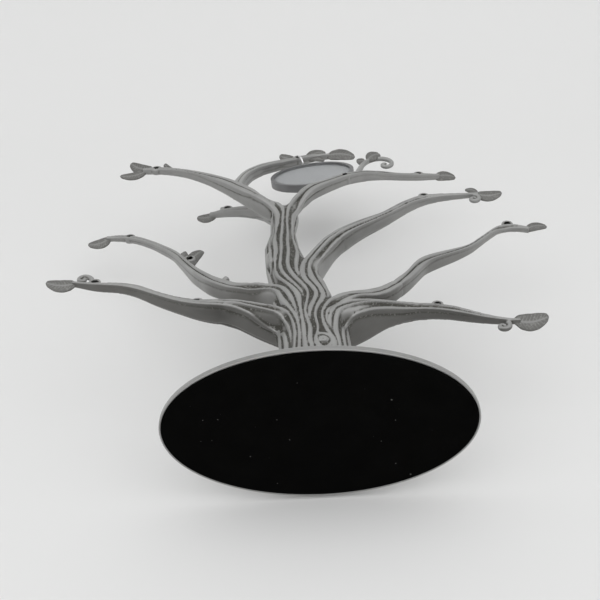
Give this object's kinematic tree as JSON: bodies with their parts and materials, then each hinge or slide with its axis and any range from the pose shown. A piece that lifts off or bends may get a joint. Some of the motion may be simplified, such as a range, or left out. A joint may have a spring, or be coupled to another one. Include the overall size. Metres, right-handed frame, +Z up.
{
  "type": "photo tree stand",
  "caption": "Free-standing cast metal tree on an oval base, whose limbs have small holes for hanging small photo frames, and a round frame that hangs from its crown by a wire ring.",
  "frame": {"origin": "middle of the felt underside, on which the stand rests", "axes": "+Z up the trunk, +X to the right and +Y to the back of the tree"},
  "size_m": [0.2529, 0.08, 0.2806],
  "materials": {
    "antique_metal": "antique satin, dark in the grooves",
    "black_felt": "flocked",
    "screw_steel": "plain",
    "bright_wire": "bright",
    "frame_metal": "antique satin",
    "clear_lens": "clear",
    "grey_card": "matt",
    "grey_board": "matt",
    "back_metal": "satin"
  },
  "bodies": {
    "stand": {"base_plate": "antique_metal", "base_felt": "black_felt", "base_screws": "screw_steel", "tree_trunk": "antique_metal", "lower_left_limb": "antique_metal", "middle_left_limb": "antique_metal", "short_left_limb": "antique_metal", "upper_left_limb": "antique_metal", "crown_limb": "antique_metal", "upper_right_limb": "antique_metal", "high_right_limb": "antique_metal", "middle_right_limb": "antique_metal", "lower_right_limb": "antique_metal"},
    "ring": {"hanger_ring": "bright_wire"},
    "frame": {"frame_rim": "frame_metal", "frame_lens": "clear_lens", "photo_card": "grey_card", "frame_filler": "grey_board", "frame_back": "back_metal"}
  },
  "joints": [
    {"name": "ring_swing", "type": "hinge", "parent": "stand", "child": "ring", "pos_m": [-0.00525, 0.0155, 0.26847], "axis": [0, 1, 0], "range_deg": [-4, 9]},
    {"name": "frame_tilt", "type": "hinge", "parent": "ring", "child": "frame", "pos_m": [-0.00244, 0.0155, 0.26098], "axis": [0.9361, 0, 0.3518], "range_deg": [0, 35]}
  ]
}
